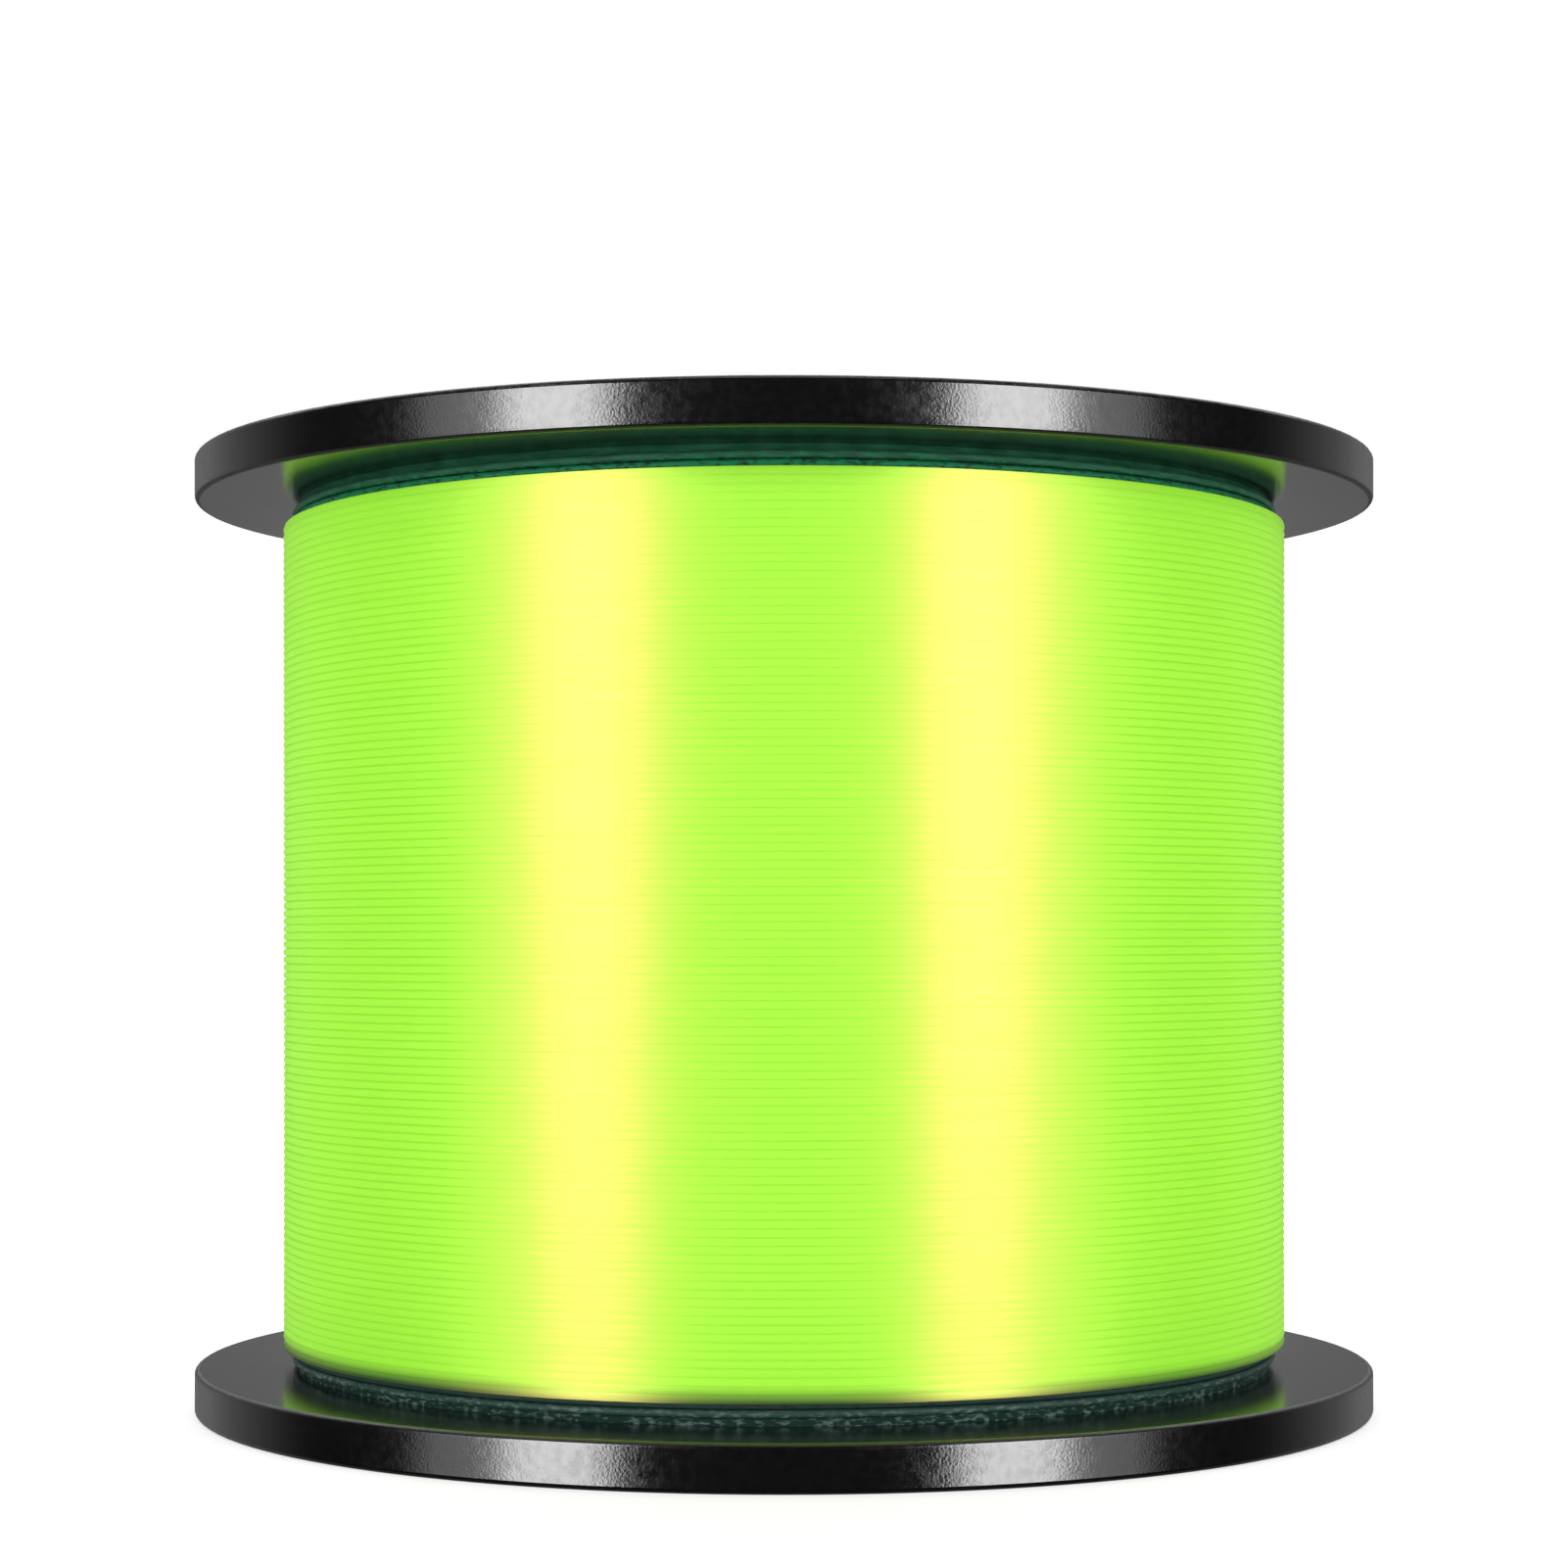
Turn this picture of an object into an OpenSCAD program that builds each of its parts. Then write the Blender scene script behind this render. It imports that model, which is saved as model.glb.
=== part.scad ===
// Fishing line spool: two identical flanges fixed to a ribbed core, wound with one continuous line.
// Millimetres. +Z runs up the spool's axis, and the origin is the centre of the lower flange's outer face.

/* [Flanges] */
// Height of the spool over both flanges
spool_h = 50; // [40:1:70]
// Diameter of each flange
flange_d = 62.5; // [50:0.5:80]
// Thickness of a flange at its rim
rim_t = 2.3; // [1.6:0.1:3]
// Width of the raised rim round the outer face
rim_w = 2; // [1.4:0.1:2.6]
// Radius of the rim's rounded edges
edge_r = 0.25; // [0.1:0.05:0.6]
// Depth of the recess in the outer face, between the collar and the rim
recess_depth = 0.5; // [0.5:0.05:0.9]
// Width of the slope at each side of the recess
recess_draft = 0.2; // [0:0.05:0.4]
// Width of the raised collar round the core's seat
collar_w = 2.4; // [1.6:0.1:4]

/* [Line clip] */
// Angle of the line clip, anticlockwise from +X
clip_angle = 75; // [0:5:355]
// Distance from the rim's inner edge to the middle of the clip's round seat
clip_inset = 1; // [0.8:0.1:1.2]
// Diameter of the seat
clip_seat_d = 0.8; // [0.8:0.05:1.2]
// Width of the throat that keeps the line in the seat
clip_throat_w = 0.35; // [0.2:0.05:0.5]
// Length of the throat
clip_throat_l = 0.4; // [0.2:0.1:0.8]
// Width of the clip's mouth at the rim
clip_mouth_w = 2.4; // [1.6:0.1:4]

/* [Core] */
// Diameter of the barrel that the line is wound on
barrel_d = 26; // [25:0.5:34]
// Wall of the barrel
barrel_wall = 2; // [1.8:0.1:2.4]
// Wall of the spigot that stands through each flange
spigot_wall = 1; // [0.8:0.05:1]
// Depth of the core's ends below the flanges' outer faces
core_inset = 0.3; // [0.1:0.05:0.5]
// Diameter of the bore for the axle
bore_d = 12; // [8:0.5:13]
// Wall of the bore tube
bore_wall = 1.5; // [1:0.1:1.8]
// Chamfer at each mouth of the bore
bore_chamfer = 0.5; // [0.2:0.1:0.8]
// Number of ribs between the bore tube and the barrel
rib_count = 6; // [3:3:9]
// Thickness of a rib
rib_t = 1.2; // [0.8:0.1:2]
// Depth of the ribs' ends below the core's ends
rib_inset = 1; // [0.4:0.1:3]
// Number of keys that stop a flange from turning on the core
key_count = 3; // [3]
// Width of a key
key_w = 3; // [2:0.1:4]
// Height of a key above the spigot
key_h = 0.6; // [0.4:0.05:0.6]
// Clearance between a flange and the core's spigot and keys
seat_gap = 0.1; // [0.05:0.01:0.15]

/* [Line] */
// Diameter of the line
line_d = 0.4; // [0.2:0.05:0.4]
// Depth of the outer layer's surface below the flanges' rims
line_depth = 4.6; // [3.8:0.1:9]
// Width that the outer layer leaves bare at each flange
bare_w = 1.4; // [1.2:0.1:3]
// Loops drawn in the outer layer, which stand for the hundred or so of the close-wound line
loops = 24; // [12:1:24]
// Length of the free end that lies in the upper flange's recess
tag_l = 9; // [5:0.5:12]
// Radius that the free end curls to
tag_curl_r = 14; // [10:1:30]
// Turn from the clip's outward direction to the free end's first heading, in degrees
tag_turn = 130; // [120:5:150]

/* [Line's start] */
// Width of the slot that lets the line into the core
start_slot_w = 0.8; // [0.6:0.1:1.2]
// Depth of that slot below the upper flange's inner face
start_slot_h = 1.2; // [0.8:0.1:2]
// Diameter of the stopper knot inside the core
knot_d = 1.4; // [1.3:0.1:2]
// Length of the loose end below the knot
start_tag_l = 4; // [2:0.5:8]

/* [Hidden] */
$fn = 96;
EPS = 0.01;
SPOOL_COLOR = "#1a1a1c";
LINE_COLOR = "#9bf53c";
INNER_LINE_COLOR = "#1f5a41";

// Facets of the line's tube: flats round it, rings to a loop, and degrees from ring to ring in a sharp turn
SIDES = 6;
RINGS = 24;
TURN_STEP = 22.5;
TAG_STEPS = 5;
// Clearance between the tube and what it lies on
LAY_GAP = 0.05;

// Flanges
flange_r = flange_d / 2;
rim_ri = flange_r - rim_w;
inner_z0 = rim_t;
inner_z1 = spool_h - rim_t;
recess_z1 = spool_h - recess_depth;
clip_r = rim_ri - clip_inset;
clip_seat_r = clip_seat_d / 2;

// Core
barrel_r = barrel_d / 2;
barrel_ri = barrel_r - barrel_wall;
spigot_r = barrel_ri + spigot_wall;
key_r = spigot_r + key_h;
bore_r = bore_d / 2;
bore_ro = bore_r + bore_wall;
core_z0 = core_inset;
core_z1 = spool_h - core_inset;
// The keys lie alike on both sides of the clip, so that a flange fits them either way up.
// The start's slot lies midway between two ribs.
key_angle = clip_angle + 180 / key_count;
start_angle = key_angle + 120 + 180 / rib_count;

// Line. Between two rings the tube runs straight and cuts inside its own radius, and the pack stays clear.
line_r = line_d / 2;
wind_r = flange_r - line_depth - line_r;
pack_r = wind_r * cos(180 / RINGS) - line_r - LAY_GAP;
wind_z0 = inner_z0 + bare_w + line_r;
wind_z1 = inner_z1 - bare_w - line_r;
pitch = (wind_z1 - wind_z0) / loops;
lay_z = recess_z1 + line_r + LAY_GAP;
// The taut line leaves the pack where its tangent runs to the clip's seat
leave_angle = clip_angle - acos(wind_r / clip_r);
first_angle = leave_angle - 360 * loops;
// At each flange the line turns along the axis, one line_d short of the flange's inner face
turn_r = bare_w + line_r - line_d;
turn_deg = turn_r / wind_r * 180 / PI;
start_z = inner_z1 - start_slot_h / 2;
knot_r = barrel_ri - knot_d / 2;

// --- Helpers ---

function polar(r, angle, z = 0) = [r * cos(angle), r * sin(angle), z];

function unit(v) = v / norm(v);

// Corner of a profile rounded to radius r about its centre, from one angle to another
function corner(centre, r, from, to, steps = 4) =
    [for (i = [0:steps]) let (a = from + (to - from) * i / steps) centre + r * [cos(a), sin(a)]];

// Direction of a path at each of its points: midway between the steps before and after
function headings(path) = [
    for (i = [0:len(path) - 1])
        let (before = max(i, 1), after = min(i, len(path) - 2))
        unit(unit(path[before] - path[before - 1]) + unit(path[after + 1] - path[after]))
];

function squared(side, heading) = unit(side - (side * heading) * heading);

// The side vector carried along the path square to each heading, so that the tube doesn't twist
function carried(heading, first_side) = [
    for (
        i = 0, side = squared(first_side, heading[0]);
        i < len(heading);
        i = i + 1, side = i < len(heading) ? squared(side, heading[i]) : side
    ) side
];

// Least distance between points half a loop or more apart along the path, less the tube's diameter
function least_gap(path, d) = min([
    for (i = [0:len(path) - 1 - RINGS / 2])
        for (j = [i + RINGS / 2:len(path) - 1])
            norm(path[i] - path[j])
]) - d;

module tube(path, d, first_side) {
    heading = headings(path);
    side = carried(heading, first_side);
    points = [
        for (i = [0:len(path) - 1])
            for (k = [0:SIDES - 1])
                let (a = k * 360 / SIDES)
                path[i] + d / 2 * (cos(a) * side[i] + sin(a) * cross(heading[i], side[i]))
    ];
    walls = [
        for (i = [0:len(path) - 2])
            for (k = [0:SIDES - 1])
                let (a = SIDES * i + k, b = SIDES * i + (k + 1) % SIDES)
                each [[a, a + SIDES, b], [b, a + SIDES, b + SIDES]]
    ];
    last = SIDES * (len(path) - 1);
    ends = [for (k = [1:SIDES - 2]) each [[0, k, k + 1], [last, last + k + 1, last + k]]];
    polyhedron(points, concat(walls, ends));
}

module ring_plan(outer_r, inner_r) {
    difference() {
        circle(outer_r);
        circle(inner_r);
    }
}

module ring(outer_r, inner_r, z0, z1) {
    translate([0, 0, z0]) linear_extrude(z1 - z0) ring_plan(outer_r, inner_r);
}

// --- Flanges ---

// Half section of a flange, with its outer face at z = 0
module flange_section() {
    seat_r = spigot_r + seat_gap;
    collar_r = seat_r + collar_w;
    edge_x = flange_r - edge_r;
    polygon(concat(
        [[seat_r, 0], [collar_r, 0], [collar_r + recess_draft, recess_depth]],
        [[rim_ri - recess_draft, recess_depth], [rim_ri, 0]],
        corner([edge_x, edge_r], edge_r, -90, 0),
        corner([edge_x, rim_t - edge_r], edge_r, 0, 90),
        [[seat_r, rim_t]]
    ));
}

// Plan of the line clip, pointing along +X: the round seat, the throat and a wedge that opens to the rim
module clip_plan() {
    throat_r = clip_r + clip_seat_r + clip_throat_l;
    throat_y = clip_throat_w / 2;
    mouth_y = clip_mouth_w / 2;
    translate([clip_r, 0]) circle(clip_seat_r);
    polygon([
        [clip_r, -throat_y], [throat_r, -throat_y], [flange_r + EPS, -mouth_y],
        [flange_r + EPS, mouth_y], [throat_r, throat_y], [clip_r, throat_y]
    ]);
}

// Plan of the keys, and with a gap that of the notches that they sit in
module keys_plan(gap = 0) {
    for (i = [0:key_count - 1])
        rotate(key_angle + i * 360 / key_count)
            translate([barrel_ri, -key_w / 2 - gap])
                square([key_r + gap - barrel_ri, key_w + 2 * gap]);
}

// A flange with its outer face down
module flange() {
    difference() {
        rotate_extrude() flange_section();
        translate([0, 0, -EPS]) linear_extrude(rim_t + 2 * EPS) {
            keys_plan(seat_gap);
            rotate(clip_angle) clip_plan();
        }
    }
}

module lower_flange() {
    color(SPOOL_COLOR) flange();
}

// The same moulding turned over about the clip's own direction, so that the two clips line up
module upper_flange() {
    color(SPOOL_COLOR)
        translate([0, 0, spool_h])
            rotate([180, 0, 2 * clip_angle])
                flange();
}

// --- Core ---

// The keys of one end, between two heights
module keys(z0, z1) {
    translate([0, 0, z0]) linear_extrude(z1 - z0) difference() {
        keys_plan();
        circle((barrel_ri + spigot_r) / 2);
    }
}

// The ribs reach half way into the walls on either side
module ribs() {
    z0 = core_z0 + rib_inset;
    z1 = core_z1 - rib_inset;
    x0 = bore_ro - bore_wall / 2;
    x1 = barrel_ri + barrel_wall / 2;
    for (i = [0:rib_count - 1])
        rotate(key_angle + i * 360 / rib_count)
            translate([x0, -rib_t / 2, z0])
                cube([x1 - x0, rib_t, z1 - z0]);
}

// Slot in the barrel's end, open upwards, so that the line drops in before the flange goes on
module start_slot() {
    z0 = inner_z1 - start_slot_h;
    rotate(start_angle)
        translate([barrel_ri - EPS - barrel_wall / 2, -start_slot_w / 2, z0])
            cube([2 * barrel_wall, start_slot_w, core_z1 + EPS - z0]);
}

// Cone that bevels the bore's lower mouth
module bore_bevel() {
    translate([0, 0, core_z0 - EPS])
        cylinder(h = bore_chamfer + EPS, r1 = bore_r + bore_chamfer + EPS, r2 = bore_r);
}

// Bore tube, ribs and barrel, with a keyed spigot at each end, in one moulding
module core() {
    color(SPOOL_COLOR) difference() {
        union() {
            ring(barrel_r, barrel_ri, inner_z0, inner_z1);
            ring(spigot_r, barrel_ri, core_z0, core_z1);
            ring(bore_ro, bore_r, core_z0, core_z1);
            keys(core_z0, inner_z0);
            keys(inner_z1, core_z1);
            ribs();
        }
        start_slot();
        bore_bevel();
        translate([0, 0, spool_h]) mirror([0, 0, 1]) bore_bevel();
    }
}

// --- Line ---

// Every layer below the outer one
module line_pack() {
    color(INNER_LINE_COLOR) ring(pack_r, barrel_r, inner_z0, inner_z1);
}

// Up from the lower flange and over into the first loop
function lead_in() = [
    polar(wind_r, first_angle - turn_deg, inner_z0),
    for (a = [0:TURN_STEP:90 - TURN_STEP])
        polar(wind_r, first_angle - turn_deg * cos(a), inner_z0 + line_d + turn_r * sin(a))
];

function winding() = [
    for (i = [0:loops * RINGS])
        polar(wind_r, first_angle + i * 360 / RINGS, wind_z0 + i * pitch / RINGS)
];

// Along the tangent to the clip, up through its seat, and over on to the recess's floor
function tail() =
    let (
        seat = polar(clip_r, clip_angle),
        run = polar(1, leave_angle + 90),
        tag = polar(1, clip_angle + tag_turn),
        inward = polar(1, clip_angle + tag_turn + 90),
        fold_r = clip_seat_r,
        tag_deg = tag_l / tag_curl_r * 180 / PI
    )
    [
        for (a = [0:TURN_STEP:90])
            seat - turn_r * (1 - sin(a)) * run + [0, 0, wind_z1 + turn_r * (1 - cos(a))],
        for (a = [0:TURN_STEP:90])
            seat + fold_r * (1 - cos(a)) * tag + [0, 0, lay_z - fold_r * (1 - sin(a))],
        for (i = [1:TAG_STEPS])
            let (a = tag_deg * i / TAG_STEPS)
            seat + (fold_r + tag_curl_r * sin(a)) * tag + tag_curl_r * (1 - cos(a)) * inward + [0, 0, lay_z]
    ];

// The outer layer in one unbroken tube, from the lower flange to the free end
module line_outer_layer() {
    path = concat(lead_in(), winding(), tail());
    echo("least gap from the outer layer to itself, mm", least_gap(path, line_d));
    color(LINE_COLOR) tube(path, line_d, polar(1, first_angle));
}

// The line's start: in through the slot, a stopper knot, and a short loose end
module line_start() {
    color(LINE_COLOR) rotate(start_angle) translate([knot_r, 0, start_z]) {
        rotate([0, 90, 0]) cylinder(h = barrel_r - EPS - knot_r, d = line_d);
        sphere(d = knot_d);
        translate([0, 0, -knot_d / 2 - start_tag_l]) cylinder(h = start_tag_l + knot_d / 2, d = line_d);
    }
}

upper_flange();
lower_flange();
core();
line_pack();
line_outer_layer();
line_start();
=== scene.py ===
"""Looks of the fishing line spool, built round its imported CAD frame. Metres, +Z up the spool's axis.

The outer layer of line, the layer below it and the line's start are modelled here turn by turn.
The flanges and the core are the CAD nodes themselves, with a better material.
"""

import math

import bpy
import numpy as np
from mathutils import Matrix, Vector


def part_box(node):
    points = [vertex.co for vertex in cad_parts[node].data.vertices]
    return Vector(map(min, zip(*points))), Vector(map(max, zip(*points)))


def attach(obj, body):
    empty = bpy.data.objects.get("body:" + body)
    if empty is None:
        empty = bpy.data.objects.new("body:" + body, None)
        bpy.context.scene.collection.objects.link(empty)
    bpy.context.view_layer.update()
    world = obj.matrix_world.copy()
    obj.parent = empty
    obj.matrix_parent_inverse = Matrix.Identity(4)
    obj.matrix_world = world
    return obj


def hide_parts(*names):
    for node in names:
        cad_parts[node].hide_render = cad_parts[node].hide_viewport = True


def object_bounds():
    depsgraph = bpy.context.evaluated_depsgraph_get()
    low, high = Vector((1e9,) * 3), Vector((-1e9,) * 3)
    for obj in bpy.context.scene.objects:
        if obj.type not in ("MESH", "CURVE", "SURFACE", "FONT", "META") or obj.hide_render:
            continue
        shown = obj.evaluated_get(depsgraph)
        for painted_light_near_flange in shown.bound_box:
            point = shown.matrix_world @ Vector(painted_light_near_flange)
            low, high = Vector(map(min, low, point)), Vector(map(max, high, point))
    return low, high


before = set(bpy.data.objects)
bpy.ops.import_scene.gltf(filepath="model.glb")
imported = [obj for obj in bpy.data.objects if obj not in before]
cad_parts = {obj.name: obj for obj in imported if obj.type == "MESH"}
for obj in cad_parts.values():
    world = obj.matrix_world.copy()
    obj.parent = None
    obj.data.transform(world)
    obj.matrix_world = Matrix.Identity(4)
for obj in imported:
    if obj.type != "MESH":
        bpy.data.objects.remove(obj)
cad_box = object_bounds()

MM = 0.001

# --- Sizes from the frame ---

flange_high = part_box("lower_flange")[1]
FLANGE_R = flange_high.x
RIM_T = flange_high.z
SPOOL_H = cad_box[1].z
MIDDLE_Z = SPOOL_H / 2
INNER_Z0 = RIM_T
INNER_Z1 = SPOOL_H - RIM_T
INNER_HALF = MIDDLE_Z - RIM_T
BARREL_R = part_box("core")[1].x

# --- Sizes of the line and its seats, as in the CAD source ---

LINE_R = 0.2 * MM
LINE_DEPTH = 4.6 * MM
WIND_R = FLANGE_R - LINE_DEPTH - LINE_R
CLIP_DEPTH = 3 * MM
CLIP_R = FLANGE_R - CLIP_DEPTH
CLIP_ANGLE = math.radians(75)
CLIP_SEAT_R = 0.4 * MM
RECESS_DEPTH = 0.5 * MM
LAY_GAP = 0.05 * MM
TAG_LENGTH = 9 * MM
TAG_CURL_R = 14 * MM
TAG_TURN = math.radians(130)
START_ANGLE = math.radians(285)
START_SLOT_H = 1.2 * MM
START_Z = INNER_Z1 - START_SLOT_H / 2
START_TAG = 4 * MM

# --- The real winding, which the CAD model draws with fewer loops ---

TURNS = 107
BARE_LOW = 0.86 * MM
BARE_HIGH = 0.95 * MM
BEND_R = 1.0 * MM
TIGHTEST_PITCH = 2.01 * LINE_R
# The most by which a turn's share of the slack differs from an even one
UNEVENNESS = 0.5
# The tube is a little taller than wide, so that turns that touch leave no slit
WOUND_STRETCH = 1.04
RINGS_PER_TURN = 115
TUBE_SIDES = 8
BEND_STEPS = 8
TAG_STEPS = 16
# How far the shading normals lean towards the barrel's own. The other two are cosines between a
# normal and the barrel's own: where the leaning ends, and where the groove between turns begins.
NORMAL_SOFTNESS = 0.97
LEAN_ENDS = -0.1
GROOVE_BEGINS = 0.7
GROOVE_ATTRIBUTE = "groove"

# --- The layer below, seen beside each flange ---

LAYER_GAP = 0.07 * MM
BELOW_R = WIND_R - 2 * LINE_R - LAYER_GAP
BELOW_TURNS = 6
BELOW_PITCH = 0.415 * MM
# How far the turns wander along the axis, and how far they sway from BELOW_R
BELOW_WANDER = 0.05 * MM
BELOW_SWAY = 0.02 * MM
BELOW_GAP_LOW = 0.02 * MM
BELOW_GAP_HIGH = 0.12 * MM
BELOW_RINGS_PER_TURN = 120
# The plain pack's surface lies inside the middle of those strands
PACK_INSET = 0.12 * MM
PACK_R = BELOW_R - PACK_INSET

# --- The line's start ---

KNOT_R = 9.5 * MM
KNOT_SIZE = 0.36 * MM
KNOT_RISE = 0.30 * MM
KNOT_OPENING = 0.4
KNOT_SAMPLES = 40
START_SIDES = 12

# --- Paths ---


def polar(r, angle, z=0.0):
    return np.array([r * math.cos(angle), r * math.sin(angle), z])


def ripple(x, seed):
    """A smooth, repeatable variation between about -1 and 1 that has no period in sight."""
    return (
        math.sin(1.7 * x + seed) + math.sin(2.9 * x + 2.3 * seed) + math.sin(5.3 * x + 0.7 * seed)
    ) / 3


def quarter(steps):
    """Angles of a quarter turn, both ends included."""
    return [math.pi / 2 * i / steps for i in range(steps + 1)]


def winding_heights(z_low, z_high):
    """Height of each turn's start. The turns touch in places and stand a hair apart in others."""
    shares = [1 + UNEVENNESS * ripple(2.1 * i, 1.0) for i in range(TURNS)]
    slack = (z_high - z_low) - TURNS * TIGHTEST_PITCH
    heights = [z_low]
    for share in shares:
        heights.append(heights[-1] + TIGHTEST_PITCH + slack * share / sum(shares))
    return heights


def outer_layer_path():
    """Up from the lower flange, round and round to the upper one, through its clip and over.
    Also gives the wound stretch's first point, and the one after its last."""
    leave_angle = CLIP_ANGLE - math.acos(WIND_R / CLIP_R)
    z_low = INNER_Z0 + BARE_LOW + LINE_R
    z_high = INNER_Z1 - BARE_HIGH - LINE_R
    bend_angle = BEND_R / WIND_R
    points = [polar(WIND_R, leave_angle - bend_angle, INNER_Z0 + LAY_GAP)]
    for a in quarter(BEND_STEPS)[:-1]:
        angle = leave_angle - bend_angle * math.cos(a)
        points.append(polar(WIND_R, angle, z_low - BEND_R * (1 - math.sin(a))))
    wound_from = len(points)
    heights = winding_heights(z_low, z_high)
    for i in range(TURNS * RINGS_PER_TURN + 1):
        turn, step = divmod(i, RINGS_PER_TURN)
        share = step / RINGS_PER_TURN
        low = heights[turn]
        high = heights[min(turn + 1, TURNS)]
        angle = leave_angle + 2 * math.pi * share
        points.append(polar(WIND_R, angle, low + (high - low) * share))
    wound_to = len(points)
    points.extend(tail_points(leave_angle, z_high))
    return np.array(points), wound_from, wound_to


def tail_points(leave_angle, z_high):
    """Along the tangent to the clip, up through its seat, and over on to the recess's floor."""
    seat = polar(CLIP_R, CLIP_ANGLE)
    run = polar(1, leave_angle + math.pi / 2)
    tag = polar(1, CLIP_ANGLE + TAG_TURN)
    inward = polar(1, CLIP_ANGLE + TAG_TURN + math.pi / 2)
    up = np.array([0, 0, 1])
    lay_z = SPOOL_H - RECESS_DEPTH + LINE_R + LAY_GAP
    points = []
    for a in quarter(BEND_STEPS):
        short = BEND_R * (1 - math.sin(a))
        rise = BEND_R * (1 - math.cos(a))
        points.append(seat - short * run + up * (z_high + rise))
    for a in quarter(BEND_STEPS):
        over = CLIP_SEAT_R * (1 - math.cos(a))
        short = CLIP_SEAT_R * (1 - math.sin(a))
        points.append(seat + over * tag + up * (lay_z - short))
    for i in range(1, TAG_STEPS + 1):
        a = TAG_LENGTH / TAG_CURL_R * i / TAG_STEPS
        along = CLIP_SEAT_R + TAG_CURL_R * math.sin(a)
        points.append(seat + along * tag + TAG_CURL_R * (1 - math.cos(a)) * inward + up * lay_z)
    return points


def below_path(z_start, seed):
    """A few turns of the layer below. All wander together, so that they stay side by side."""
    points = []
    for i in range(BELOW_TURNS * BELOW_RINGS_PER_TURN + 1):
        turns = i / BELOW_RINGS_PER_TURN
        angle = 2 * math.pi * turns + seed
        wander = BELOW_WANDER * (1 + ripple(angle % (2 * math.pi), seed))
        r = BELOW_R + BELOW_SWAY * ripple(3 * turns, seed)
        points.append(polar(r, angle, z_start + BELOW_PITCH * turns + wander))
    return np.array(points)


def smoothed(points, steps=5):
    """The points joined by a Catmull-Rom curve."""
    p = np.vstack([2 * points[0] - points[1], points, 2 * points[-1] - points[-2]])
    curve = []
    for i in range(1, len(p) - 2):
        before, here, there, after = p[i - 1 : i + 3]
        for k in range(steps):
            u = k / steps
            curve.append(
                here
                + u * (there - before) / 2
                + u * u * (before - 2.5 * here + 2 * there - after / 2)
                + u**3 * (1.5 * here - 1.5 * there + (after - before) / 2)
            )
    curve.append(p[-2])
    return np.array(curve)


def knot_points():
    """An overhand knot as points (out, side, up): a trefoil with one lobe open at its tip, where
    the line comes and goes. The knot is turned and moved so that this tip lies at (0, 0, 0)."""
    turn = -math.pi / 2 - math.pi / 6
    points = []
    for i in range(KNOT_SAMPLES + 1):
        t = math.pi / 3 + KNOT_OPENING + (2 * math.pi - 2 * KNOT_OPENING) * i / KNOT_SAMPLES
        u = KNOT_SIZE * (math.sin(t) + 2 * math.sin(2 * t))
        v = KNOT_SIZE * (math.cos(t) - 2 * math.cos(2 * t))
        out = math.cos(turn) * u - math.sin(turn) * v
        side = math.sin(turn) * u + math.cos(turn) * v + 3 * KNOT_SIZE
        points.append([out, side, -KNOT_RISE * math.sin(3 * t)])
    return points


def start_path():
    """Up from the loose end, once round an overhand knot, and out to the barrel's slot.
    The points are chosen as (out, side, up) from the knot's place inside the barrel."""
    loose_end = [
        [-1.5 * MM, 0, -START_TAG],
        [-1.55 * MM, 0, -START_TAG / 2],
        [-1.5 * MM, 0, -1.0 * MM],
        [-1.2 * MM, 0, -0.15 * MM],
        [-0.7 * MM, 0, 0.27 * MM],
    ]
    way_out = [
        [0.7 * MM, 0, -0.27 * MM],
        [1.2 * MM, 0, -0.05 * MM],
        [1.9 * MM, 0, 0],
        [BARREL_R - KNOT_R - LAY_GAP, 0, 0],
    ]
    local = smoothed(np.array(loose_end + knot_points() + way_out))
    out = polar(1, START_ANGLE)
    side = polar(1, START_ANGLE + math.pi / 2)
    up = np.array([0, 0, 1])
    middle = polar(KNOT_R, START_ANGLE, START_Z)
    return middle + local[:, :1] * out + local[:, 1:2] * side + local[:, 2:] * up


# --- Meshes ---


def add_object(name, data):
    made = bpy.data.objects.new(name, data)
    bpy.context.scene.collection.objects.link(made)
    return made


def headings(path):
    """Direction of a path at each point: midway between the steps before and after."""
    steps = np.diff(path, axis=0)
    steps /= np.linalg.norm(steps, axis=1, keepdims=True)
    ways = np.vstack([steps[:1], steps[:-1] + steps[1:], steps[-1:]])
    return ways / np.linalg.norm(ways, axis=1, keepdims=True)


def carried_sides(ways, first_side, held):
    """The side vector carried along the path square to each heading, so that the tube doesn't twist.
    At the points that held lists, the direction it gives is taken up instead."""
    side = np.array(first_side, float)
    sides = []
    for i, way in enumerate(ways):
        side = held.get(i, side)
        side = side - side.dot(way) * way
        side /= np.linalg.norm(side)
        sides.append(side)
    return np.array(sides)


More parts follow.
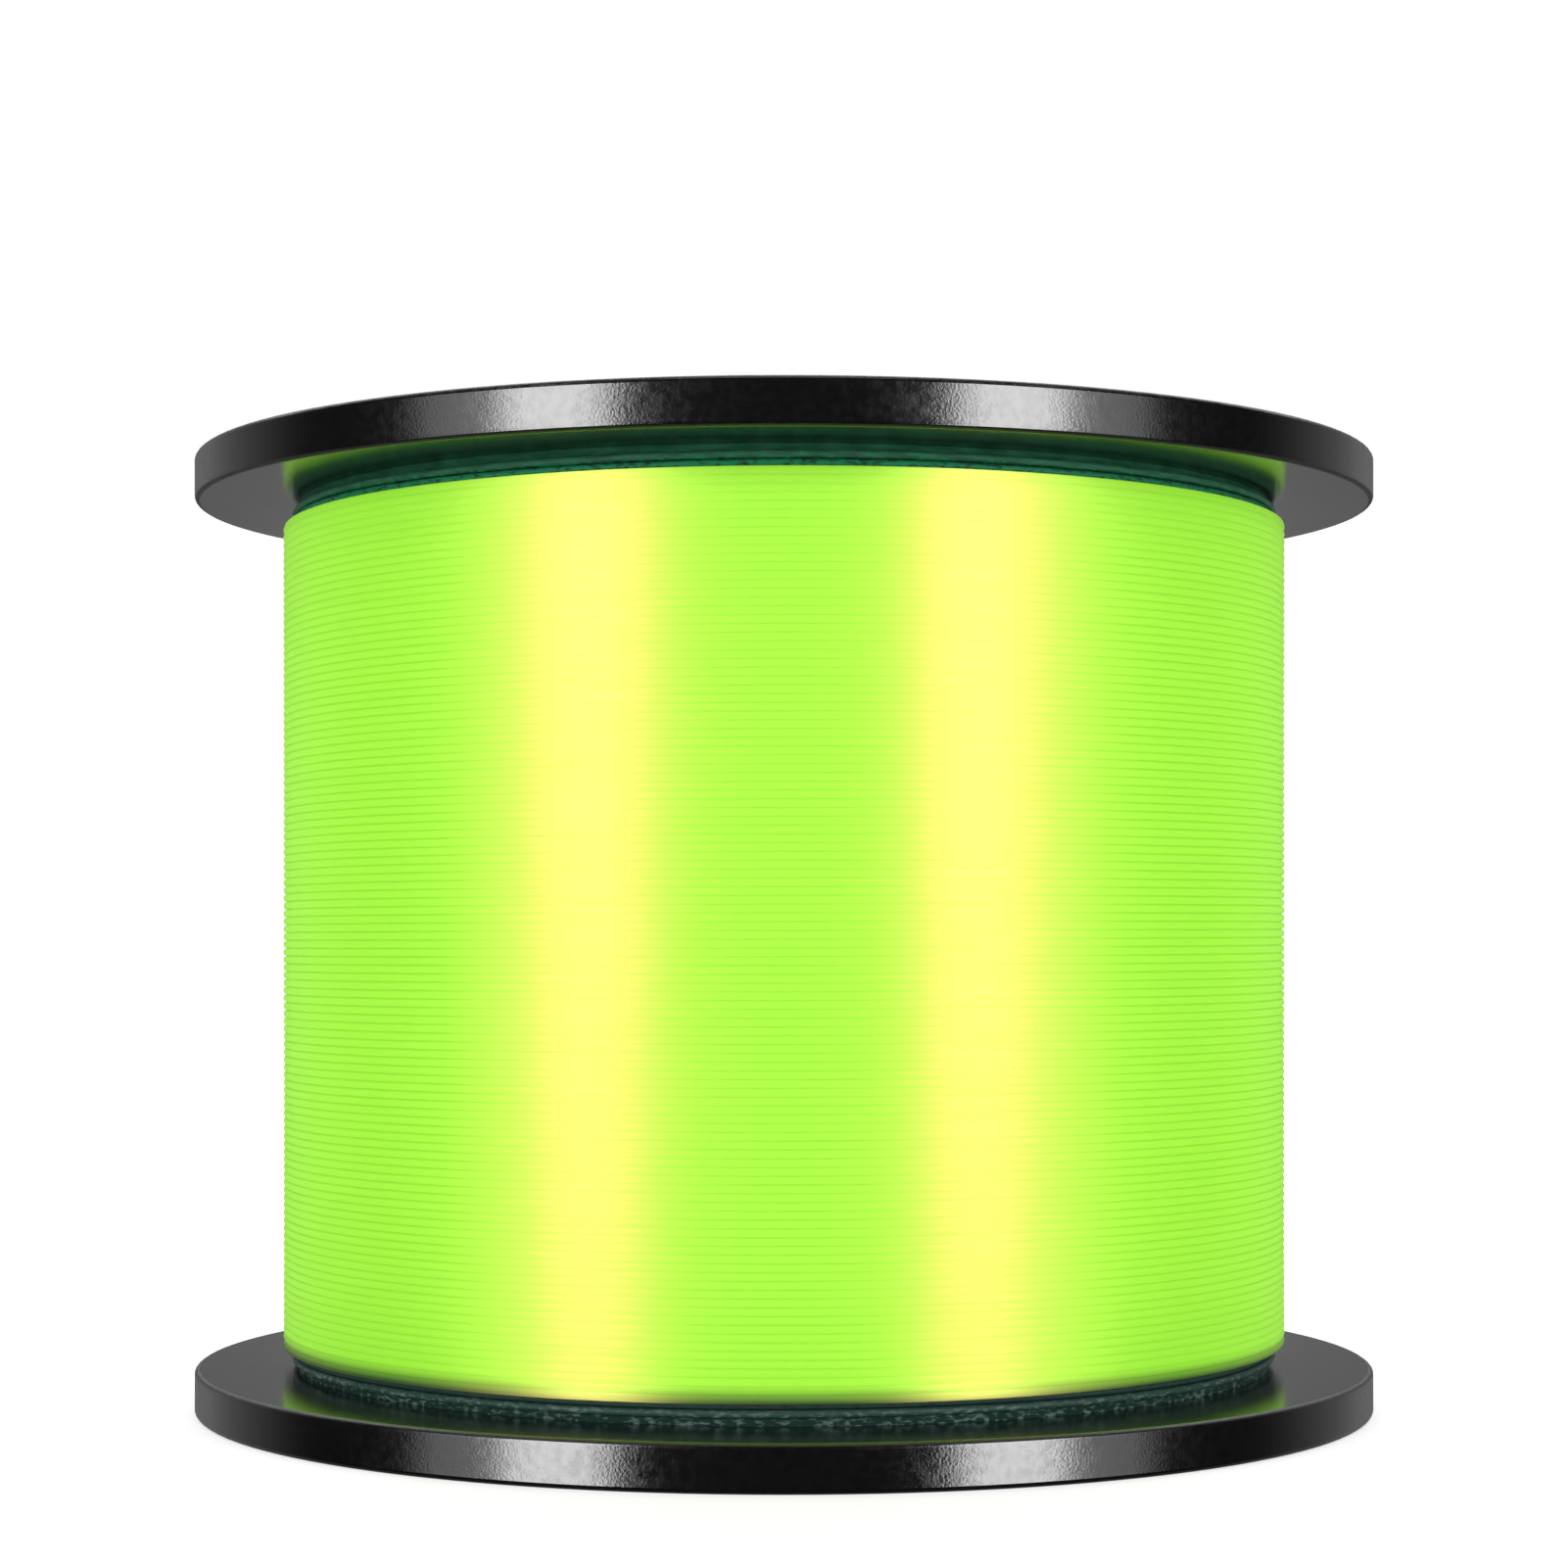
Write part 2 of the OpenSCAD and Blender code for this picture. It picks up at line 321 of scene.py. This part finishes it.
def tube_parts(path, radius, first_side, sides=TUBE_SIDES, stretch=1.0, held=None):
    """Points, faces and outward normals of a tube along a path, with domed ends.
    Stretch widens it square to its side vector."""
    dome_height = 0.6 * radius
    ways = headings(path)
    across = carried_sides(ways, first_side, held or {})
    over = np.cross(ways, across)
    turn = 2 * np.pi * np.arange(sides) / sides
    cosines = np.cos(turn)[None, :, None]
    sines = stretch * np.sin(turn)[None, :, None]
    rays = cosines * across[:, None] + sines * over[:, None]
    points = (path[:, None] + radius * rays).reshape(-1, 3)
    normals = rays.reshape(-1, 3)
    rings = len(path)
    around = np.arange(sides)
    start = (np.arange(rings - 1) * sides)[:, None]
    here, beside = start + around, start + (around + 1) % sides
    faces = np.stack([here, beside, beside + sides, here + sides], axis=2).reshape(-1, 4).tolist()
    for ring, middle, way in ((0, path[0], -ways[0]), ((rings - 1) * sides, path[-1], ways[-1])):
        tip = len(points)
        points = np.vstack([points, middle + dome_height * way])
        normals = np.vstack([normals, way])
        for k in range(sides):
            a, b = ring + k, ring + (k + 1) % sides
            faces.append([b, a, tip] if ring == 0 else [a, b, tip])
    return points, faces, normals


def lathe_parts(profile, segments=240):
    """Points and faces of a closed profile of (r, z) turned round the axis."""
    count = len(profile)
    points = np.array(
        [polar(r, 2 * math.pi * s / segments, z) for s in range(segments) for r, z in profile]
    )
    faces = []
    for s in range(segments):
        here, there = s * count, (s + 1) % segments * count
        for k in range(count):
            j = (k + 1) % count
            faces.append([here + k, there + k, there + j, here + j])
    return points, faces


def joined(parts):
    """Several (points, faces) as one."""
    points, faces, count = [], [], 0
    for p, f in parts:
        points.append(p)
        faces.extend([[count + i for i in face] for face in f])
        count += len(p)
    return np.vstack(points), faces


def mesh_piece(name, points, faces, normals=None, groove=None):
    """A smooth-shaded object at the origin. It may bring its own vertex normals,
    and how deep in a groove each vertex lies, from 0 to 1."""
    mesh = bpy.data.meshes.new(name)
    mesh.from_pydata(points.tolist(), [], faces)
    mesh.polygons.foreach_set("use_smooth", [True] * len(mesh.polygons))
    mesh.update()
    if normals is not None:
        mesh.normals_split_custom_set_from_vertices(normals.tolist())
    if groove is not None:
        mesh.attributes.new(GROOVE_ATTRIBUTE, "FLOAT", "POINT").data.foreach_set("value", groove)
    return add_object(name, mesh)


def make_outer_layer():
    """The outer layer, turn by turn. Its shading leans towards the barrel's own,
    because the clear line carries light across the grooves."""
    path, wound_from, wound_to = outer_layer_path()
    radial = {i: path[i] * [1, 1, 0] for i in range(wound_from, wound_to)}
    points, faces, normals = tube_parts(path, LINE_R, polar(1, 0), stretch=WOUND_STRETCH, held=radial)
    wound = slice(wound_from * TUBE_SIDES, wound_to * TUBE_SIDES)
    outward = points[wound] * [1, 1, 0]
    outward /= np.linalg.norm(outward, axis=1, keepdims=True)
    facing = np.sum(normals[wound] * outward, axis=1, keepdims=True)
    lean = np.where(facing > LEAN_ENDS, NORMAL_SOFTNESS, 0)
    mixed = (1 - lean) * normals[wound] + lean * outward
    normals[wound] = mixed / np.linalg.norm(mixed, axis=1, keepdims=True)
    # How deep in a groove each vertex lies, where the line's material paints shade
    groove = np.zeros(len(points))
    groove[wound] = 1 - np.clip(facing[:, 0] / GROOVE_BEGINS, 0, 1)
    return mesh_piece("outer_layer_of_line", points, faces, normals, groove)


def make_line_start():
    path = start_path()
    points, faces, normals = tube_parts(path, LINE_R, polar(1, START_ANGLE), sides=START_SIDES)
    return mesh_piece("line_start_knot", points, faces, normals)


def make_layer_below():
    """The layer below the outer one: its turns beside each flange, and a plain pack between and behind."""
    low_start = INNER_Z0 + LINE_R + BELOW_GAP_LOW
    high_start = INNER_Z1 - LINE_R - BELOW_GAP_HIGH - BELOW_TURNS * BELOW_PITCH
    pack = [(BARREL_R, INNER_Z0), (PACK_R, INNER_Z0), (PACK_R, INNER_Z1), (BARREL_R, INNER_Z1)]
    parts = [lathe_parts(pack)]
    for z_start, seed in ((low_start, 0.4), (high_start, 2.0)):
        points, faces, _ = tube_parts(below_path(z_start, seed), LINE_R, polar(1, seed))
        parts.append((points, faces))
    return mesh_piece("layer_below", *joined(parts))


# --- Materials ---

# Where nearly all of a noise's values lie. Its scale, times the stretch of the point that it is given,
# counts its features to a metre.
NOISE_RANGE = (0.3, 0.7)


def grey(tone):
    return (tone, tone, tone)


class Nodes:
    """A node tree, and short ways to add nodes to it. A value is a number, a vector, a colour
    or another node's output."""

    def __init__(self, tree):
        self.tree = tree

    def give(self, socket, value):
        if isinstance(value, bpy.types.NodeSocket):
            self.tree.links.new(value, socket)
        elif socket.type == "RGBA":
            socket.default_value = (*value, 1)
        else:
            socket.default_value = value

    def node(self, kind, inputs, **settings):
        """Adds a node with these inputs, by the names or numbers of its sockets, and these settings."""
        made = self.tree.nodes.new(kind)
        for setting, value in settings.items():
            setattr(made, setting, value)
        for socket, value in inputs.items():
            self.give(made.inputs[socket], value)
        return made

    def maths(self, operation, first, second=0.0):
        return self.node("ShaderNodeMath", {0: first, 1: second}, operation=operation).outputs["Value"]

    def mapped(self, value, source, target):
        """The value carried from the range source to the range target."""
        inputs = {
            "Value": value,
            "From Min": source[0],
            "From Max": source[1],
            "To Min": target[0],
            "To Max": target[1],
        }
        return self.node("ShaderNodeMapRange", inputs).outputs["Result"]

    def share(self, value, start, end):
        """0 where the value is at start, 1 where it is at end."""
        return self.mapped(value, (start, end), (0, 1))

    def blend(self, factor, low, high):
        """The number from low at factor 0 to high at factor 1."""
        return self.node("ShaderNodeMix", {"Factor": factor, "A": low, "B": high}).outputs["Result"]

    def colour(self, factor, low, high):
        """The colour from low at factor 0 to high at factor 1."""
        mix = self.node("ShaderNodeMix", {"Factor": factor}, data_type="RGBA")
        ends = [socket for socket in mix.inputs if socket.type == "RGBA"]
        for socket, value in zip(ends, (low, high)):
            self.give(socket, value)
        return next(socket for socket in mix.outputs if socket.type == "RGBA")

    def rays(self, *kinds):
        """1 for rays of any of these kinds, named as on the Light Path node."""
        path = self.node("ShaderNodeLightPath", {})
        first, *others = kinds
        either = path.outputs[first]
        for kind in others:
            either = self.maths("MAXIMUM", either, path.outputs[kind])
        return either


class Shader(Nodes):
    """One material's nodes with its Principled shader."""

    def __init__(self, name):
        self.material = bpy.data.materials.new(name)
        self.material.use_nodes = True
        self.material.cycles.emission_sampling = "NONE"
        super().__init__(self.material.node_tree)
        self.principled = self.tree.nodes["Principled BSDF"]

    def set(self, values):
        """Gives the Principled shader's sockets their values."""
        for socket, value in values.items():
            self.give(self.principled.inputs[socket], value)

    def place(self):
        """The point on the object, in metres."""
        return self.node("ShaderNodeTexCoord", {}).outputs["Object"]

    def stretched(self, scale):
        """The point on the object, times scale along each axis."""
        return self.node("ShaderNodeMapping", {"Vector": self.place(), "Scale": scale}).outputs["Vector"]

    def height(self):
        return self.node("ShaderNodeSeparateXYZ", {"Vector": self.place()}).outputs["Z"]

    def from_middle(self):
        """Distance of the point above or below the spool's middle."""
        return self.maths("ABSOLUTE", self.maths("SUBTRACT", self.height(), MIDDLE_Z))

    def from_axis(self):
        """Distance of the point from the spool's axis."""
        flat = self.stretched((1, 1, 0))
        return self.node("ShaderNodeVectorMath", {0: flat}, operation="LENGTH").outputs["Value"]

    def noise(self, place, scale, detail):
        inputs = {"Vector": place, "Scale": scale, "Detail": detail}
        return self.node("ShaderNodeTexNoise", inputs).outputs["Fac"]

    def spread(self, noise, low, high):
        """A noise as a number from about low to about high."""
        return self.mapped(noise, NOISE_RANGE, (low, high))

    def bump(self, height, distance):
        """The shading normal of this height, where 1 stands for this distance."""
        return self.node("ShaderNodeBump", {"Height": height, "Distance": distance}).outputs["Normal"]


def plastic_material():
    """Black moulded polystyrene: satin on the rims and inner faces, more matt on the outer faces,
    with a fine grain. The rounded edges are scuffed."""
    shader = Shader("moulded_black_plastic")
    grain = shader.noise(shader.place(), 8000, 1)
    mottle = shader.noise(shader.place(), 2400, 2)
    cloud = shader.noise(shader.place(), 160, 2)
    from_axis = shader.from_axis()
    outside = shader.share(shader.from_middle(), INNER_HALF + 0.1 * MM, INNER_HALF + 0.3 * MM)
    on_edge = shader.share(from_axis, FLANGE_R - 0.3 * MM, FLANGE_R - 0.22 * MM)
    on_rim = shader.share(from_axis, FLANGE_R - 0.06 * MM, FLANGE_R - 0.03 * MM)
    inner_rough = shader.spread(cloud, 0.13, 0.17)
    outer_rough = shader.spread(cloud, 0.50, 0.58)
    edge_rough = shader.spread(grain, 0.45, 0.60)
    rim_rough = shader.mapped(mottle, (0.35, 0.65), (0.15, 0.22))
    rough = shader.blend(outside, inner_rough, outer_rough)
    rough = shader.blend(on_edge, rough, edge_rough)
    shader.set(
        {
            "Base Color": shader.colour(cloud, grey(0.002), grey(0.004)),
            "Roughness": shader.blend(on_rim, rough, rim_rough),
            "Normal": shader.bump(grain, 0.006 * MM),
            "IOR": 1.59,
            "Specular IOR Level": 0.88,
        }
    )
    return shader.material


def line_material():
    """Fluorescent yellow-green monofilament: a slightly uneven dye, a warm gloss, and a painted glow for
    its fluorescence.
    Painted shade darkens the grooves between turns, and fades the lowest turns towards the dark layer
    below."""
    shader = Shader("yellow_green_monofilament")
    along = shader.stretched((60, 60, 2400))
    dye = shader.noise(along, 1, 3)
    base = shader.colour(dye, (0.36, 0.97, 0.048), (0.39, 1.0, 0.058))
    groove = shader.node("ShaderNodeAttribute", {}, attribute_name=GROOVE_ATTRIBUTE).outputs["Fac"]
    # Painted shade: the grooves between turns get a darker green
    groove_shaded_base = shader.colour(groove, base, (0.31, 0.90, 0.061))
    # Painted shade over the lowest turns, darkest at the winding's foot, in colour and in glow
    foot = INNER_Z0 + BARE_LOW
    clear_of_foot_shade = shader.share(shader.height(), foot + 0.32 * MM, foot + 1.1 * MM)
    # Painted glow that stands in for fluorescence: a little weaker in the grooves, as painted shade, and
    # gone at the foot
    glow = shader.mapped(groove, (0, 1), (0.16, 0.12))
    shader.set(
        {
            "Base Color": shader.colour(clear_of_foot_shade, (0.02, 0.11, 0.034), groove_shaded_base),
            "Emission Color": (0.34, 1.0, 0.05),
            "Emission Strength": shader.maths("MULTIPLY", glow, clear_of_foot_shade),
            "Roughness": shader.spread(shader.noise(along, 3, 2), 0.33, 0.38),
            "IOR": 2.1,
            "Specular IOR Level": 1.0,
            "Specular Tint": (1.0, 0.85, 0.20),
        }
    )
    return shader.material


def line_below_material():
    """The same line deep beside the flanges, where painted shade turns it dark green and strand differs
    from strand.
    It is greyer beside the lower flange. Painted light lifts it close to both flanges and painted shade
    dims it beside the winding, and bright flecks gather with a painted glint at the winding's top edge."""
    shader = Shader("deep_line_painted_shade")
    strands = shader.noise(shader.stretched((800, 800, 4500)), 1, 4)
    flecks = shader.noise(shader.stretched((2500, 2500, 6000)), 1, 2)
    upper = shader.share(shader.height(), 0.3 * SPOOL_H, 0.7 * SPOOL_H)
    # Painted light near each flange, and painted shade towards the winding
    painted_light_near_flange = shader.share(shader.from_middle(), INNER_HALF - 0.9 * MM, INNER_HALF - 0.1 * MM)
    # The dark greens below are painted shade of the gap beside the flanges
    dark_low = shader.colour(painted_light_near_flange, (0.020, 0.032, 0.028), (0.145, 0.230, 0.205))
    dark_high = shader.colour(painted_light_near_flange, (0.011, 0.055, 0.031), (0.038, 0.190, 0.105))
    light_low = shader.colour(painted_light_near_flange, (0.029, 0.049, 0.042), (0.235, 0.370, 0.320))
    light_high = shader.colour(painted_light_near_flange, (0.020, 0.105, 0.057), (0.066, 0.320, 0.180))
    dark = shader.colour(upper, dark_low, dark_high)
    light = shader.colour(upper, light_low, light_high)
    # Random bright flecks, and a painted glint of the lamps along the winding's top edge
    fleck_and_glint_colour = shader.colour(upper, (0.024, 0.066, 0.050), (0.014, 0.270, 0.120))
    strand = shader.colour(shader.share(strands, 0.36, 0.64), dark, light)
    edge = INNER_Z1 - BARE_HIGH
    # Painted glint: the flecks gather just above the winding's top edge
    painted_glint_at_edge = shader.mapped(shader.height(), (edge + 0.38 * MM, edge + 0.08 * MM), (0, 0.25))
    fleck_and_glint = shader.share(shader.maths("ADD", flecks, painted_glint_at_edge), 0.60, 0.74)
    shader.set(
        {
            "Base Color": shader.colour(fleck_and_glint, strand, fleck_and_glint_colour),
            "Roughness": shader.spread(strands, 0.45, 0.6),
            "Specular IOR Level": 0.3,
        }
    )
    return shader.material


# --- The object ---


def wear(piece, material):
    piece.data.materials.clear()
    piece.data.materials.append(material)


def finish_piece(piece, material, slot, *replaced):
    wear(piece, material)
    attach(piece, "root")
    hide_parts(*replaced)


line = line_material()
finish_piece(make_outer_layer(), line, "line", "line_outer_layer")
finish_piece(make_line_start(), line, "line", "line_start")
finish_piece(make_layer_below(), line_below_material(), "line_below", "line_pack")

plastic = plastic_material()
for node_name in ("upper_flange", "lower_flange", "core"):
    wear(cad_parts[node_name], plastic)


# --- Stage ---

AMBIENT = 0.65
# The world's tones in gloss, by how far behind the object they lie: 0 is beside it and in front,
# and 1 is straight behind it
STUDIO_TONES = ((0.2, 0.012), (0.5, 0.20), (0.8, 0.34), (0.95, 0.21), (0.985, 0.20), (0.999, 0.86))

FLOOR_HALF = 4.0
FLOOR_ALBEDO = 0.5
FLOOR_MOTTLE = 0.01
# The glow that whitens the floor for the camera, near and far, and how far from the axis those are
FLOOR_GLOW = (0.58, 1 - AMBIENT * FLOOR_ALBEDO)
FLOOR_GLOW_AT = (0.15, 0.45)

LAMP_DISTANCE = 0.6
# Softboxes at both sides: name, degrees from the camera's side, degrees up, width, height, radiance
PAIRED_SOFTBOXES = (
    ("front_box", 41.5, 3, 0.22, 0.44, 7.5),
    ("side_box", 61, 3, 0.18, 0.44, 1.1),
    ("back_box", 155, 50, 0.45, 0.35, 3.0),
)
TOP_SOFTBOX = ("top_box", 0, 85, 0.3, 0.3, 1.0)

# The photograph's width, and the camera's focal length and horizon, in its pixels
PHOTO_PX = 1601
CAMERA_FOCAL_PX = 3449
CAMERA_HORIZON_PX = 954.5
CAMERA_DISTANCE = 5.817 * FLANGE_R
SENSOR_WIDTH = 36


def make_floor():
    """A pale floor. The camera sees it lighter than it is lit, so that it turns white away
    from the object's shadow."""
    half = FLOOR_HALF
    corners = [(-half, -half, 0), (half, -half, 0), (half, half, 0), (-half, half, 0)]
    mesh = bpy.data.meshes.new("floor")
    mesh.from_pydata(corners, [], [(0, 1, 2, 3)])
    floor = add_object("floor", mesh)
    shader = Shader("pale_floor")
    tone = shader.noise(shader.place(), 20, 2)
    low, high = grey(FLOOR_ALBEDO - FLOOR_MOTTLE), grey(FLOOR_ALBEDO + FLOOR_MOTTLE)
    glow = shader.mapped(shader.from_axis(), FLOOR_GLOW_AT, FLOOR_GLOW)
    seen = shader.rays("Is Camera Ray", "Is Glossy Ray", "Is Transmission Ray")
    shader.set(
        {
            "Base Color": shader.colour(tone, low, high),
            "Emission Color": grey(1),
            "Emission Strength": shader.maths("MULTIPLY", seen, glow),
            "Roughness": 0.9,
            "Specular IOR Level": 0.0,
        }
    )
    mesh.materials.append(shader.material)
    floor.visible_glossy = False


def make_world():
    """A white background. In gloss and glass it is white behind the object,
    grey round it and dark towards the front."""
    world = bpy.data.worlds.new("studio")
    bpy.context.scene.world = world
    world.use_nodes = True
    nodes = Nodes(world.node_tree)
    direction = nodes.node("ShaderNodeTexCoord", {}).outputs["Generated"]
    behind = nodes.node("ShaderNodeSeparateXYZ", {"Vector": direction}).outputs["Y"]
    studio = nodes.node("ShaderNodeValToRGB", {"Fac": behind})
    stops = studio.color_ramp.elements
    while len(stops) < len(STUDIO_TONES):
        stops.new(1)
    for stop, (position, tone) in zip(stops, STUDIO_TONES):
        stop.position = position
        stop.color = (*grey(tone), 1)
    in_gloss = nodes.rays("Is Glossy Ray", "Is Transmission Ray")
    strength = nodes.blend(in_gloss, AMBIENT, studio.outputs["Color"])
    strength = nodes.blend(nodes.rays("Is Camera Ray"), strength, 1.0)
    background = world.node_tree.nodes["Background"]
    nodes.give(background.inputs["Color"], grey(1))
    nodes.give(background.inputs["Strength"], strength)


def add_softbox(name, azimuth, elevation, width, height, radiance):
    """A rectangular lamp that faces the winding's middle.
    Azimuth is from the camera's side, in degrees towards +X."""
    a, e = math.radians(azimuth), math.radians(elevation)
    middle = np.array([0, 0, MIDDLE_Z])
    way = np.array([math.sin(a) * math.cos(e), -math.cos(a) * math.cos(e), math.sin(e)])
    data = bpy.data.lights.new(name, "AREA")
    data.shape = "RECTANGLE"
    data.size, data.size_y = width, height
    data.energy = radiance * math.pi * width * height
    lamp = add_object(name, data)
    lamp.location = middle + LAMP_DISTANCE * way
    lamp.rotation_mode = "XYZ"
    lamp.rotation_euler = (math.radians(90 - elevation), 0, a)
    lamp.visible_camera = False


def make_camera():
    """The photograph's view: level with the spool's middle, the frame shifted up."""
    data = bpy.data.cameras.new("camera")
    data.sensor_width = SENSOR_WIDTH
    data.lens = CAMERA_FOCAL_PX / PHOTO_PX * SENSOR_WIDTH
    data.shift_y = (CAMERA_HORIZON_PX - PHOTO_PX / 2) / PHOTO_PX
    data.clip_start, data.clip_end = 0.01, 20
    camera = add_object("camera", data)
    camera.location = (0, -CAMERA_DISTANCE, MIDDLE_Z)
    camera.rotation_euler = (math.pi / 2, 0, 0)
    bpy.context.scene.camera = camera


make_floor()
make_world()
for side in (-1, 1):
    for name, azimuth, *rest in PAIRED_SOFTBOXES:
        add_softbox(name, side * azimuth, *rest)
add_softbox(*TOP_SOFTBOX)
make_camera()

bpy.context.scene.view_settings.view_transform = "Standard"
